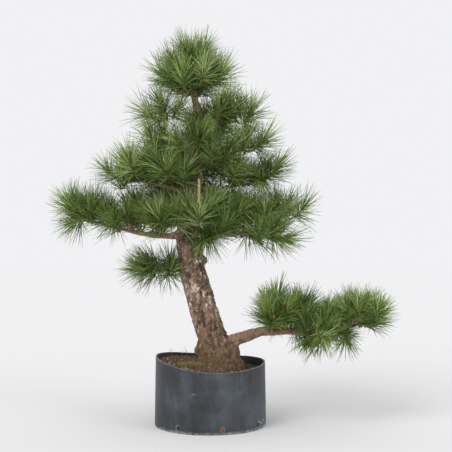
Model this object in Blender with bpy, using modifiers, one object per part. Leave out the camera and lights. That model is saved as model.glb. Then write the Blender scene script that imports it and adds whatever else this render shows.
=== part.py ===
"""A long-needled pine bonsai that leans out of a cut-down nursery pot.

Metres, +Z up. The origin is the middle of the pot's base, and the front is -Y.
Headings are in degrees from +X, turning towards +Y.
"""

import math
from collections import namedtuple

import bmesh
import bpy
from mathutils import Matrix, Vector, noise

GAP = 0.0005  # clearance between pieces that touch

# Pot: a round tub whose rim was cut by hand, so its height wanders.
POT_BASE_RADIUS = 0.139
POT_MOUTH_RADIUS = 0.137
POT_WALL = 0.003
POT_SIDES = 50
RIM_HEIGHT = 0.1585
RIM_LEFT_LIFT = 0.007
RIM_BACK_LIFT = 0.0048
RIM_SADDLE = 0.006
DRAIN_HOLES = 8
DRAIN_HOLE_RADIUS = 0.006
DRAIN_HOLE_HEIGHT = 0.0125
DRAIN_FIRST_HEADING = -78.0

# Soil: sinks to the right and mounds up round the foot of the trunk.
SOIL_BELOW_RIM = 0.0115
SOIL_SIDE_FALL = 0.014
SOIL_BACK_RISE = 0.002
SOIL_MOUND = 0.006
SOIL_MOUND_SPREAD = 0.06
SOIL_SIDES = 36
SOIL_RINGS = 4
GROUND = RIM_HEIGHT - SOIL_BELOW_RIM

# Trunk: centre line and thickness, by share of its height above the soil.
TRUNK_HEIGHT = 0.755
TRUNK_DEPTH_SWAY = 0.010
Station = namedtuple("Station", "share lean radius")
TRUNK = (
    Station(-0.05, 0.026, 0.052),
    Station(0.00, 0.022, 0.048),
    Station(0.05, 0.013, 0.041),
    Station(0.12, -0.002, 0.036),
    Station(0.22, -0.026, 0.035),
    Station(0.34, -0.047, 0.032),
    Station(0.42, -0.057, 0.030),
    Station(0.52, -0.050, 0.025),
    Station(0.68, -0.031, 0.018),
    Station(0.80, -0.018, 0.012),
    Station(0.89, -0.042, 0.008),
    Station(1.00, -0.048, 0.004),
)
TRUNK_STATIONS = 24
ROOT_LOBES = 5
ROOT_SPREAD = 0.023
ROOT_FADE = 0.030
KNOT_SUNK = 0.35  # share of a knot's radius that is sunk in the trunk
Knot = namedtuple("Knot", "share heading radius")
KNOTS = (
    Knot(0.345, -65.0, 0.012),
    Knot(0.345, -8.0, 0.013),
    Knot(0.048, 182.0, 0.020),
    Knot(0.040, -12.0, 0.030),
)

# Branches: where each forks from the trunk (share of its height), where it
# heads, how far it goes, how it rises, arches, waves and sweeps aside, and how
# thick it is. Its clumps of needles start at a share of its length, stand aside
# of it in turn, and are lifted over it. All three shrink towards its tip.
Branch = namedtuple(
    "Branch",
    "name fork heading reach rise arch wave sweep base tip clumps start aside lift size",
)
BRANCHES = (
    Branch("low_right", 0.045, -3, 0.400, 0.095, 0.004, 0.022, -0.01,
           0.020, 0.004, 6, 0.33, 0.036, 0.036, 0.069),
    Branch("left_back", 0.310, 155, 0.125, 0.004, 0.004, 0.0, 0.01,
           0.007, 0.003, 2, 0.55, 0.016, 0.008, 0.056),
    Branch("left_low", 0.430, 184, 0.292, 0.046, -0.012, -0.004, -0.02,
           0.011, 0.003, 5, 0.34, 0.036, 0.038, 0.062),
    Branch("right_low", 0.445, -22, 0.210, -0.010, 0.0, 0.0, -0.02,
           0.010, 0.003, 3, 0.40, 0.030, 0.004, 0.060),
    Branch("front_low", 0.470, 272, 0.110, 0.012, 0.0, 0.0, 0.0,
           0.009, 0.003, 2, 0.80, 0.046, -0.014, 0.062),
    Branch("right_long", 0.490, 2, 0.240, 0.000, -0.004, 0.0, 0.01,
           0.010, 0.003, 4, 0.36, 0.028, 0.016, 0.061),
    Branch("back_right_low", 0.510, 46, 0.200, -0.005, 0.0, 0.0, 0.02,
           0.009, 0.003, 2, 0.62, 0.026, 0.004, 0.062),
    Branch("back_low", 0.530, 110, 0.170, 0.010, 0.008, 0.0, -0.02,
           0.009, 0.003, 3, 0.50, 0.030, 0.008, 0.062),
    Branch("left_mid", 0.565, 178, 0.165, 0.040, 0.004, 0.0, 0.02,
           0.009, 0.003, 3, 0.46, 0.024, 0.020, 0.058),
    Branch("right_mid", 0.585, -4, 0.175, 0.020, -0.006, 0.0, 0.01,
           0.009, 0.003, 3, 0.52, 0.022, 0.018, 0.056),
    Branch("front_mid", 0.600, 232, 0.085, 0.015, 0.0, 0.0, 0.0,
           0.008, 0.003, 1, 1.0, 0.0, 0.008, 0.058),
    Branch("back_mid", 0.640, 92, 0.130, 0.015, 0.0, 0.0, 0.02,
           0.008, 0.003, 2, 0.60, 0.018, 0.008, 0.060),
    Branch("left_upper", 0.660, 182, 0.085, 0.030, 0.0, 0.0, 0.0,
           0.007, 0.003, 1, 1.0, 0.0, 0.010, 0.055),
    Branch("right_upper", 0.670, -18, 0.122, 0.030, 0.0, 0.0, 0.0,
           0.007, 0.003, 2, 0.50, 0.016, 0.006, 0.060),
    Branch("front_upper", 0.705, 262, 0.070, 0.015, 0.0, 0.0, 0.0,
           0.006, 0.003, 1, 1.0, 0.0, 0.006, 0.058),
    Branch("back_upper", 0.760, 80, 0.090, 0.015, 0.0, 0.0, 0.0,
           0.006, 0.003, 1, 1.0, 0.0, 0.004, 0.058),
    Branch("left_top", 0.785, 172, 0.098, 0.036, 0.0, 0.0, 0.0,
           0.006, 0.003, 1, 1.0, 0.0, 0.006, 0.052),
    Branch("right_top", 0.795, -8, 0.078, 0.020, 0.0, 0.0, 0.0,
           0.006, 0.003, 2, 0.35, 0.020, 0.006, 0.058),
)
BRANCH_STATIONS = 8
PAD_TAPER = 0.6  # what a pad has lost of its width and its lift at the tip
CLUMP_TAPER = 0.22  # what a clump has lost of its size at the tip

# Crown: one clump on the leader's tip and a ring of them round it.
CROWN_RING = 4
CROWN_RING_RADIUS = 0.046
CROWN_RING_DROP = 0.026
CROWN_CLUMP = 0.062
CROWN_TOP_LIFT = 0.022
CLUMP_RAGGEDNESS = 0.07

# Candles (new shoots): the clump that each stands on, and its length.
CANDLE_RADIUS = 0.003
Candle = namedtuple("Candle", "holder length")
CANDLES = (Candle("needles_left_mid_3", 0.032), Candle("needles_front_low_2", 0.052))

# Things on the soil.
DRY_MOSS_PLACE = (-0.050, -0.058)
DRY_MOSS_SIZE = (0.034, 0.020, 0.007)
SPRIG_PLACES = ((-0.100, 0.045), (-0.073, 0.030), (-0.062, 0.041))
SPRIG_LENGTH = 0.020
SPRIG_RADIUS = 0.0015

POT_FINISH = ((0.071, 0.084, 0.097), 0.55)
SOIL_FINISH = ((0.080, 0.038, 0.026), 0.95)
BARK_FINISH = ((0.230, 0.140, 0.090), 0.90)
TWIG_FINISH = ((0.250, 0.130, 0.065), 0.80)
NEEDLE_FINISH = ((0.061, 0.156, 0.032), 0.50)
CANDLE_FINISH = ((0.420, 0.400, 0.130), 0.60)
DRY_MOSS_FINISH = ((0.260, 0.190, 0.070), 0.95)
SPRIG_FINISH = ((0.140, 0.230, 0.050), 0.60)


def clear_scene():
    for obj in list(bpy.data.objects):
        bpy.data.objects.remove(obj, do_unlink=True)


def new_collection(name):
    collection = bpy.data.collections.new(name)
    bpy.context.scene.collection.children.link(collection)
    return collection


def finished(obj, finish):
    """Gives a piece a material of its own."""
    colour, roughness = finish
    material = bpy.data.materials.new(obj.name)
    material.use_nodes = True
    shader = material.node_tree.nodes["Principled BSDF"]
    shader.inputs["Base Color"].default_value = (*colour, 1.0)
    shader.inputs["Roughness"].default_value = roughness
    shader.inputs["Metallic"].default_value = 0.0
    obj.data.materials.clear()
    obj.data.materials.append(material)
    return obj


def piece_of(name, bm, collection):
    bmesh.ops.recalc_face_normals(bm, faces=bm.faces)
    mesh = bpy.data.meshes.new(name)
    bm.to_mesh(mesh)
    bm.free()
    obj = bpy.data.objects.new(name, mesh)
    collection.objects.link(obj)
    return obj


def evaluated_mesh(obj):
    bpy.context.view_layer.update()
    graph = bpy.context.evaluated_depsgraph_get()
    return bpy.data.meshes.new_from_object(obj.evaluated_get(graph))


def heading_vector(heading):
    angle = math.radians(heading)
    return Vector((math.cos(angle), math.sin(angle), 0.0))


def tube(name, centres, radii, collection, bevel_resolution):
    """A closed tapering tube: a bevelled curve made a mesh, its caps welded."""
    curve = bpy.data.curves.new(name, "CURVE")
    curve.dimensions = "3D"
    curve.bevel_depth = 1.0
    curve.bevel_resolution = bevel_resolution
    curve.use_fill_caps = True
    spline = curve.splines.new("POLY")
    spline.points.add(len(centres) - 1)
    for point, centre, radius in zip(spline.points, centres, radii):
        point.co = (*centre, 1.0)
        point.radius = radius
    guide = bpy.data.objects.new(name + "_line", curve)
    collection.objects.link(guide)
    bm = bmesh.new()
    bm.from_mesh(evaluated_mesh(guide))
    bmesh.ops.remove_doubles(bm, verts=bm.verts, dist=0.00001)
    bpy.data.objects.remove(guide, do_unlink=True)
    return piece_of(name, bm, collection)


def hidden(obj):
    """Marks a tool of the modelling, which is no piece of the object."""
    obj.hide_render = True
    obj.display_type = "WIRE"
    return obj


def swollen(obj, by, cutters):
    """A hidden copy, larger all round, that cuts room for the piece."""
    bm = bmesh.new()
    bm.from_mesh(obj.data)
    bm.normal_update()
    for vertex in bm.verts:
        vertex.co += vertex.normal * (by * vertex.calc_shell_factor())
    return hidden(piece_of(obj.name + "_room", bm, cutters))


def boxes_meet(a, b):
    corners = [[Vector(corner) for corner in obj.bound_box] for obj in (a, b)]
    return all(
        min(c[axis] for c in corners[0]) < max(c[axis] for c in corners[1])
        and min(c[axis] for c in corners[1]) < max(c[axis] for c in corners[0])
        for axis in range(3)
    )


def keep_largest(bm):
    """Drops the crumbs that a cut leaves loose."""
    unseen = set(bm.faces)
    bodies = []
    while unseen:
        stack = [unseen.pop()]
        body = []
        while stack:
            face = stack.pop()
            body.append(face)
            for edge in face.edges:
                for near in edge.link_faces:
                    if near in unseen:
                        unseen.remove(near)
                        stack.append(near)
        bodies.append(body)
    bodies.sort(key=lambda body: sum(face.calc_area() for face in body))
    crumbs = [face for body in bodies[:-1] for face in body]
    bmesh.ops.delete(bm, geom=crumbs, context="FACES")


def combine(obj, operation, others):
    """Applies a Boolean with each of the others, and keeps the main body."""
    if not others:
        return obj
    for other in others:
        boolean = obj.modifiers.new(other.name, "BOOLEAN")
        boolean.operation = operation
        boolean.object = other
    mesh = evaluated_mesh(obj)
    obj.modifiers.clear()
    bm = bmesh.new()
    bm.from_mesh(mesh)
    keep_largest(bm)
    bm.to_mesh(obj.data)
    bm.free()
    obj.data.update()
    return obj


def carve(obj, cutters):
    return combine(obj, "DIFFERENCE", [c for c in cutters if boxes_meet(obj, c)])


def rim_height(angle):
    return (
        RIM_HEIGHT
        - RIM_LEFT_LIFT * math.cos(angle)
        + RIM_BACK_LIFT * math.sin(angle)
        + RIM_SADDLE * math.cos(2 * angle)
    )


def wall_radius(height):
    """Outer radius of the pot at a height."""
    share = height / RIM_HEIGHT
    return POT_BASE_RADIUS + (POT_MOUTH_RADIUS - POT_BASE_RADIUS) * share


def soil_radius(height):
    """Radius inside the wall, clear of it. A wall that slopes is thicker along the level."""
    slope = math.atan2(POT_MOUTH_RADIUS - POT_BASE_RADIUS, RIM_HEIGHT)
    return wall_radius(height) - POT_WALL / math.cos(slope) - GAP


def make_pot(parts, cutters):
    bm = bmesh.new()
    bmesh.ops.create_cone(
        bm, cap_ends=True, segments=POT_SIDES, depth=RIM_HEIGHT,
        radius1=POT_BASE_RADIUS, radius2=POT_MOUTH_RADIUS,
        matrix=Matrix.Translation((0, 0, RIM_HEIGHT / 2)),
    )
    top = RIM_HEIGHT - 0.001
    lid = [face for face in bm.faces if all(v.co.z > top for v in face.verts)]
    bmesh.ops.delete(bm, geom=lid, context="FACES_ONLY")
    for vertex in bm.verts:
        if vertex.co.z > top:
            height = rim_height(math.atan2(vertex.co.y, vertex.co.x))
            spread = wall_radius(height) / POT_MOUTH_RADIUS
            vertex.co = (vertex.co.x * spread, vertex.co.y * spread, height)
    pot = piece_of("nursery_pot", bm, parts)
    shell = pot.modifiers.new("wall", "SOLIDIFY")
    shell.thickness = POT_WALL
    shell.offset = -1.0
    shell.use_even_offset = True
    drills = [drain_drill(index, cutters) for index in range(DRAIN_HOLES)]
    pot.data = evaluated_mesh(pot)
    pot.modifiers.clear()
    return finished(combine(pot, "DIFFERENCE", drills), POT_FINISH)


def drain_drill(index, cutters):
    """A rod that drills one drainage hole through the wall, just over the floor."""
    ahead = heading_vector(DRAIN_FIRST_HEADING + 360.0 * index / DRAIN_HOLES)
    place = ahead * POT_BASE_RADIUS + Vector((0, 0, DRAIN_HOLE_HEIGHT))
    bm = bmesh.new()
    bmesh.ops.create_cone(
        bm, cap_ends=True, segments=12, depth=POT_WALL * 6,
        radius1=DRAIN_HOLE_RADIUS, radius2=DRAIN_HOLE_RADIUS,
        matrix=Matrix.Translation(place) @ ahead.to_track_quat("Z", "Y").to_matrix().to_4x4(),
    )
    return hidden(piece_of(f"drain_drill_{index + 1}", bm, cutters))


def soil_height(x, y):
    foot = trunk_at(0.0)[0]
    away = math.hypot(x - foot.x, y - foot.y) / SOIL_MOUND_SPREAD
    return (
        GROUND
        - SOIL_SIDE_FALL * x / POT_MOUTH_RADIUS
        + SOIL_BACK_RISE * y / POT_MOUTH_RADIUS
        + SOIL_MOUND * math.exp(-away * away)
    )


def make_soil(parts, wood_rooms):
    """Fills the pot from its floor, turned and then shaped on top."""
    floor = POT_WALL + GAP
    bm = bmesh.new()
    outline = [Vector((0, 0, floor)), Vector((soil_radius(floor), 0, floor))]
    for ring in range(SOIL_RINGS, -1, -1):
        outline.append(Vector((soil_radius(GROUND) * ring / SOIL_RINGS, 0, GROUND)))
    verts = [bm.verts.new(place) for place in outline]
    edges = [bm.edges.new(pair) for pair in zip(verts, verts[1:])]
    bmesh.ops.spin(
        bm, geom=verts + edges, cent=(0, 0, 0), axis=(0, 0, 1),
        angle=2 * math.pi, steps=SOIL_SIDES, use_merge=True,
    )
    bmesh.ops.remove_doubles(bm, verts=bm.verts, dist=0.00001)
    for vertex in bm.verts:
        if vertex.co.z > GROUND - 0.001:
            height = soil_height(vertex.co.x, vertex.co.y)
            spread = soil_radius(height) / soil_radius(GROUND)
            vertex.co = (vertex.co.x * spread, vertex.co.y * spread, height)
    soil = piece_of("soil", bm, parts)
    return finished(carve(soil, wood_rooms), SOIL_FINISH)


def trunk_at(share):
    """Centre and radius of the trunk, smoothly through its stations."""
    last = len(TRUNK) - 2
    index = min(last, max(0, sum(share >= s.share for s in TRUNK) - 1))
    near = [TRUNK[min(len(TRUNK) - 1, max(0, index + step))] for step in (-1, 0, 1, 2)]
    span = near[2].share - near[1].share
    t = (share - near[1].share) / span
    values = []
    for field in ("lean", "radius"):
        before, here, there, after = (getattr(station, field) for station in near)
        slope_here = (there - before) * span / (near[2].share - near[0].share)
        slope_there = (after - here) * span / (near[3].share - near[1].share)
        values.append(
            here * (2 * t**3 - 3 * t**2 + 1)
            + slope_here * (t**3 - 2 * t**2 + t)
            + there * (3 * t**2 - 2 * t**3)
            + slope_there * (t**3 - t**2)
        )
    lean, radius = values
    sway = TRUNK_DEPTH_SWAY * math.sin(2 * math.pi * max(share, 0.0))
    return Vector((lean, sway, GROUND + share * TRUNK_HEIGHT)), radius


def spread_roots(bm):
    """Pulls the foot of the trunk out into root lobes."""
    for vertex in bm.verts:
        over_soil = vertex.co.z - GROUND
        centre, _ = trunk_at(over_soil / TRUNK_HEIGHT)
        outward = Vector((vertex.co.x - centre.x, vertex.co.y - centre.y, 0.0))
        if outward.length < 0.001:
            continue
        angle = math.atan2(outward.y, outward.x)
        lobe = 0.65 + 0.35 * math.cos(ROOT_LOBES * angle)
        fade = math.exp(-max(over_soil, 0.0) / ROOT_FADE)
        vertex.co += outward.normalized() * (ROOT_SPREAD * lobe * fade)


def make_trunk(cutters):
    first, last = TRUNK[0].share, TRUNK[-1].share
    shares = [first + (last - first) * i / (TRUNK_STATIONS - 1) for i in range(TRUNK_STATIONS)]
    centres, radii = zip(*(trunk_at(share) for share in shares))
    trunk = hidden(tube("trunk", centres, radii, cutters, bevel_resolution=5))
    bm = bmesh.new()
    bm.from_mesh(trunk.data)
    spread_roots(bm)
    # The lobes warp the faces, so their diagonals are settled before any copy is made.
    bmesh.ops.triangulate(bm, faces=bm.faces)
    bm.to_mesh(trunk.data)
    bm.free()
    return trunk


def knot_ball(index, cutters):
    """A swelling: at a cut branch, over a root, or under the low arm."""
    knot = KNOTS[index]
    centre, radius = trunk_at(knot.share)
    place = centre + heading_vector(knot.heading) * (radius - knot.radius * KNOT_SUNK)
    bm = bmesh.new()
    bmesh.ops.create_icosphere(
        bm, subdivisions=2, radius=knot.radius, matrix=Matrix.Translation(place)
    )
    return hidden(piece_of(f"knot_ball_{index + 1}", bm, cutters))


def branch_at(branch, share):
    """Centre and radius of a branch at a share of its length."""
    ahead = heading_vector(branch.heading)
    aside = heading_vector(branch.heading + 90)
    start, _ = trunk_at(branch.fork)
    up = (
        branch.rise * share
        + branch.arch * math.sin(math.pi * share)
        + branch.wave * math.sin(2 * math.pi * share)
    )
    centre = start + ahead * (branch.reach * share)
    centre += aside * (branch.sweep * math.sin(math.pi * share))
    centre.z += up
    return centre, branch.tip + (branch.base - branch.tip) * (1 - share) ** 1.5


def make_branch(branch, cutters):
    shares = [i / (BRANCH_STATIONS - 1) for i in range(BRANCH_STATIONS)]
    centres, radii = zip(*(branch_at(branch, share) for share in shares))
    return hidden(tube("branch_" + branch.name, centres, radii, cutters, bevel_resolution=1))


def make_wood(trunk, grown_on, parts):
    """The trunk with its knots and branches, which grew as one piece."""
    wood = bpy.data.objects.new("trunk_and_branches", trunk.data.copy())
    parts.objects.link(wood)
    return finished(combine(wood, "UNION", grown_on), BARK_FINISH)


def clump_plan():
    """Every clump of needles: its name, centre and radius."""
    plan = []
    for branch in BRANCHES:
        aside = heading_vector(branch.heading + 90)
        for index in range(branch.clumps):
            along = index / max(1, branch.clumps - 1)
            share = branch.start + (1 - branch.start) * along
            pad = 1 - PAD_TAPER * along
            centre, _ = branch_at(branch, share)
            centre += aside * (branch.aside * pad * (1 if index % 2 else -1))
            centre.z += branch.lift * pad
            size = branch.size * (1 - CLUMP_TAPER * along)
            plan.append((f"needles_{branch.name}_{index + 1}", centre, size))
    tip, _ = trunk_at(1.0)
    plan.append(("needles_crown_1", tip + Vector((0, 0, CROWN_TOP_LIFT)), CROWN_CLUMP))
    for index in range(CROWN_RING):
        ahead = heading_vector(180.0 + 360.0 * index / CROWN_RING)
        centre = tip + ahead * CROWN_RING_RADIUS - Vector((0, 0, CROWN_RING_DROP))
        plan.append((f"needles_crown_{index + 2}", centre, CROWN_CLUMP))
    return plan


def cut_flat(bm, point, outward):
    """Cuts off all that lies past a plane, and closes the cut."""
    geometry = bm.verts[:] + bm.edges[:] + bm.faces[:]
    bmesh.ops.bisect_plane(
        bm, geom=geometry, dist=0.000001, plane_co=point, plane_no=outward, clear_outer=True
    )
    open_edges = [edge for edge in bm.edges if edge.is_boundary]
    if open_edges:
        bmesh.ops.holes_fill(bm, edges=open_edges, sides=0)


def make_clump(name, centre, radius, plan, parts, rooms):
    """A ragged ball of needles, parted from its neighbours by flat planes."""
    bm = bmesh.new()
    bmesh.ops.create_icosphere(bm, subdivisions=2, radius=radius)
    for vertex in bm.verts:
        swell = noise.noise(vertex.co / radius * 1.7 + centre * 40.0)
        vertex.co = centre + vertex.co * (1 + CLUMP_RAGGEDNESS * swell)
    for other, there, size in plan:
        apart = there - centre
        reach = (radius + size) * (1 + CLUMP_RAGGEDNESS)
        if other == name or apart.length > reach:
            continue
        halfway = (apart.length_squared + radius**2 - size**2) / (2 * apart.length)
        outward = apart.normalized()
        cut_flat(bm, centre + outward * (halfway - GAP), outward)
    clump = piece_of(name, bm, parts)
    return finished(carve(clump, rooms), NEEDLE_FINISH)


def spike(name, foot, length, radius, parts):
    """A slim upright cone that stands a little into what holds it."""
    sunk = length * 0.25
    bm = bmesh.new()
    bmesh.ops.create_cone(
        bm, cap_ends=True, segments=6, depth=length + sunk, radius1=radius, radius2=radius * 0.3,
        matrix=Matrix.Translation(foot + Vector((0, 0, (length - sunk) / 2))),
    )
    return piece_of(name, bm, parts)


def make_candle(index, clumps, parts, cutters):
    """Stands a candle on the upper front of its clump, where the light is."""
    holder, length = CANDLES[index]
    corners = [vertex.co for vertex in clumps[holder].data.vertices]
    foot = max(corners, key=lambda corner: corner.z - corner.y).copy()
    candle = spike(f"candle_{index + 1}", foot, length, CANDLE_RADIUS, parts)
    rooms = [swollen(clump, GAP, cutters) for clump in clumps.values() if boxes_meet(candle, clump)]
    return finished(carve(candle, rooms), CANDLE_FINISH)


def make_dry_moss(parts, rooms):
    x, y = DRY_MOSS_PLACE
    bm = bmesh.new()
    bmesh.ops.create_icosphere(bm, subdivisions=2, radius=1.0)
    bmesh.ops.scale(bm, vec=DRY_MOSS_SIZE, verts=bm.verts)
    bmesh.ops.translate(bm, vec=(x, y, soil_height(x, y)), verts=bm.verts)
    moss = piece_of("dry_moss", bm, parts)
    return finished(carve(moss, rooms), DRY_MOSS_FINISH)


def make_sprig(index, parts, rooms):
    x, y = SPRIG_PLACES[index]
    foot = Vector((x, y, soil_height(x, y)))
    sprig = spike(f"sprig_{index + 1}", foot, SPRIG_LENGTH, SPRIG_RADIUS, parts)
    return finished(carve(sprig, rooms), SPRIG_FINISH)


def build():
    clear_scene()
    parts = new_collection("pine_bonsai")
    cutters = new_collection("cutters")
    make_pot(parts, cutters)
    trunk = make_trunk(cutters)
    grown_on = [knot_ball(index, cutters) for index in range(len(KNOTS))]
    grown_on += [make_branch(branch, cutters) for branch in BRANCHES]
    make_wood(trunk, grown_on, parts)
    wood_rooms = [swollen(wood, GAP, cutters) for wood in (trunk, *grown_on)]
    soil = make_soil(parts, wood_rooms)
    soil_room = swollen(soil, GAP, cutters)
    plan = clump_plan()
    clumps = {
        name: make_clump(name, centre, radius, plan, parts, wood_rooms)
        for name, centre, radius in plan
    }
    for index in range(len(CANDLES)):
        make_candle(index, clumps, parts, cutters)
    make_dry_moss(parts, [soil_room, *wood_rooms])
    for index in range(len(SPRIG_PLACES)):
        make_sprig(index, parts, [soil_room])


build()
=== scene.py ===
import math
import random

import bmesh
import bpy
from mathutils import Matrix, Vector, noise
from mathutils.bvhtree import BVHTree


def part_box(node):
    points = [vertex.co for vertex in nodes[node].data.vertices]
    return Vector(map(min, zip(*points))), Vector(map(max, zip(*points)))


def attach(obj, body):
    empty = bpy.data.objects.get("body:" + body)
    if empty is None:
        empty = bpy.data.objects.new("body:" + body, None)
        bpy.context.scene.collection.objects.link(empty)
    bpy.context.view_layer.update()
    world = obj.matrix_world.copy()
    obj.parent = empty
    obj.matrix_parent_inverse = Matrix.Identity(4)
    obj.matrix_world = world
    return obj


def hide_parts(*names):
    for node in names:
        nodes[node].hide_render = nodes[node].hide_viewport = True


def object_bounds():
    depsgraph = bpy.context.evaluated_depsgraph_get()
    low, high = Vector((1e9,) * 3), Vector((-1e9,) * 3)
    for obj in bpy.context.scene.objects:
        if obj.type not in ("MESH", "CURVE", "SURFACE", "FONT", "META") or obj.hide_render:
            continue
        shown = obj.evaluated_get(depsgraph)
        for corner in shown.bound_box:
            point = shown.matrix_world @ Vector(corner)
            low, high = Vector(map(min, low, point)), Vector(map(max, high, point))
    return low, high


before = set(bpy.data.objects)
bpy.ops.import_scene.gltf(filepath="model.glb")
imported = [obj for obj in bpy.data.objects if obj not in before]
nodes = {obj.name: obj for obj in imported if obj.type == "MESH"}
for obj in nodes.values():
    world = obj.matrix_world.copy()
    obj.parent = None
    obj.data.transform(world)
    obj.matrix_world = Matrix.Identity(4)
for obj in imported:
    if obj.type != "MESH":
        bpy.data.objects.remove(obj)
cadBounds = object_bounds()
up = Vector((0, 0, 1))


# Small helpers

def addNode(tree, kind, inputs=None, **settings):
    node = tree.nodes.new(kind)
    for name, value in settings.items():
        setattr(node, name, value)
    for key, value in (inputs or {}).items():
        if isinstance(value, bpy.types.NodeSocket):
            tree.links.new(value, node.inputs[key])
        else:
            node.inputs[key].default_value = value
    return node


def calc(tree, operation, first, second=0.0):
    return addNode(tree, "ShaderNodeMath", {0: first, 1: second}, operation=operation).outputs[0]


def vectorCalc(tree, operation, first, second):
    key = "Scale" if operation == "SCALE" else 1
    return addNode(tree, "ShaderNodeVectorMath", {0: first, key: second}, operation=operation).outputs[0]


def ranged(tree, value, fromLow, fromHigh, toLow=0.0, toHigh=1.0):
    inputs = {0: value, 1: fromLow, 2: fromHigh, 3: toLow, 4: toHigh}
    return addNode(tree, "ShaderNodeMapRange", inputs).outputs[0]


def ramp(tree, factor, stops):
    node = addNode(tree, "ShaderNodeValToRGB", {0: factor})
    while len(node.color_ramp.elements) < len(stops):
        node.color_ramp.elements.new(1.0)
    for element, (place, colour) in zip(node.color_ramp.elements, stops):
        element.position = place
        element.color = (*colour, 1.0)
    return node.outputs[0]


def mixColour(tree, factor, first, second):
    def opaque(value):
        return value if isinstance(value, bpy.types.NodeSocket) else (*value, 1.0)

    inputs = {0: factor, 6: opaque(first), 7: opaque(second)}
    return addNode(tree, "ShaderNodeMix", inputs, data_type="RGBA").outputs[2]


def objectPlace(tree):
    place = addNode(tree, "ShaderNodeTexCoord").outputs["Object"]
    return addNode(tree, "ShaderNodeSeparateXYZ", {0: place}).outputs


def mottleGroup():
    # Soft patches at any size and stretch, shared by all the rough materials
    if "mottle" in bpy.data.node_groups:
        return bpy.data.node_groups["mottle"]
    tree = bpy.data.node_groups.new("mottle", "ShaderNodeTree")
    for label, value in {"Scale": 20.0, "Detail": 4.0, "Roughness": 0.55, "Height stretch": 1.0}.items():
        tree.interface.new_socket(label, in_out="INPUT", socket_type="NodeSocketFloat").default_value = value
    tree.interface.new_socket("Mask", in_out="OUTPUT", socket_type="NodeSocketFloat")
    given = tree.nodes.new("NodeGroupInput").outputs
    place = addNode(tree, "ShaderNodeTexCoord").outputs["Object"]
    stretch = addNode(tree, "ShaderNodeCombineXYZ", {0: 1.0, 1: 1.0, 2: given["Height stretch"]}).outputs[0]
    noiseInputs = {
        "Vector": vectorCalc(tree, "MULTIPLY", place, stretch), "Scale": given["Scale"],
        "Detail": given["Detail"], "Roughness": given["Roughness"],
    }
    mask = addNode(tree, "ShaderNodeTexNoise", noiseInputs).outputs[0]
    tree.links.new(mask, tree.nodes.new("NodeGroupOutput").inputs[0])
    return tree


def mottle(tree, scale, detail=4.0, roughness=0.55, stretch=1.0):
    inputs = {"Scale": scale, "Detail": detail, "Roughness": roughness, "Height stretch": stretch}
    node = tree.nodes.new("ShaderNodeGroup")
    node.node_tree = mottleGroup()
    for label, value in inputs.items():
        node.inputs[label].default_value = value
    return node.outputs[0]


def blend(tree, *parts):
    # A weighted sum of values
    total = calc(tree, "MULTIPLY", *parts[0])
    for value, weight in parts[1:]:
        total = calc(tree, "ADD", total, calc(tree, "MULTIPLY", value, weight))
    return total


def surfaceValue(tree, name):
    return addNode(tree, "ShaderNodeAttribute", attribute_name=name).outputs["Fac"]


def newMaterial(name, roughness, **plain):
    material = bpy.data.materials.new(name)
    material.use_nodes = True
    shader = material.node_tree.nodes["Principled BSDF"]
    shader.inputs["Roughness"].default_value = roughness
    for key, value in plain.items():
        shader.inputs[key.replace("_", " ")].default_value = value
    return material, material.node_tree, shader


def bumpInto(tree, shader, height, distance, strength=1.0):
    inputs = {"Height": height, "Distance": distance, "Strength": strength}
    tree.links.new(addNode(tree, "ShaderNodeBump", inputs).outputs[0], shader.inputs["Normal"])


def newGrower(name, sizes):
    tree = bpy.data.node_groups.new(name, "GeometryNodeTree")
    tree.interface.new_socket("Geometry", in_out="INPUT", socket_type="NodeSocketGeometry")
    for label, value in sizes.items():
        kind = "NodeSocketInt" if isinstance(value, int) else "NodeSocketFloat"
        tree.interface.new_socket(label, in_out="INPUT", socket_type=kind).default_value = value
    tree.interface.new_socket("Finish", in_out="INPUT", socket_type="NodeSocketMaterial")
    tree.interface.new_socket("Geometry", in_out="OUTPUT", socket_type="NodeSocketGeometry")
    given = tree.nodes.new("NodeGroupInput").outputs
    return tree, given


def endGrower(tree, given, geometry, smooth=True):
    whole = addNode(tree, "GeometryNodeRealizeInstances", {0: geometry}).outputs[0]
    shaded = addNode(tree, "GeometryNodeSetShadeSmooth", {0: whole, 2: smooth}).outputs[0]
    painted = addNode(tree, "GeometryNodeSetMaterial", {0: shaded, 2: given["Finish"]}).outputs[0]
    out = tree.nodes.new("NodeGroupOutput")
    tree.links.new(painted, out.inputs[0])
    return tree


def marked(tree, geometry, domain="INSTANCE", **values):
    for name, value in values.items():
        geometry = addNode(
            tree, "GeometryNodeStoreNamedAttribute", {0: geometry, "Name": name, "Value": value},
            data_type="FLOAT", domain=domain,
        ).outputs[0]
    return geometry


def named(tree, name):
    return addNode(tree, "GeometryNodeInputNamedAttribute", {"Name": name}, data_type="FLOAT").outputs[0]


def randomIn(tree, low, high, seed):
    inputs = {2: low, 3: high, "Seed": seed}
    return addNode(tree, "FunctionNodeRandomValue", inputs, data_type="FLOAT").outputs[1]


def newObject(name, data):
    obj = bpy.data.objects.new(name, data)
    bpy.context.scene.collection.objects.link(obj)
    return obj


def meshOf(obj):
    # What the object's modifiers make, as a plain mesh
    bpy.context.view_layer.update()
    graph = bpy.context.evaluated_depsgraph_get()
    return bpy.data.meshes.new_from_object(obj.evaluated_get(graph), depsgraph=graph)


def meshFrom(bm, name):
    mesh = bpy.data.meshes.new(name)
    bm.to_mesh(mesh)
    bm.free()
    return mesh


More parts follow.
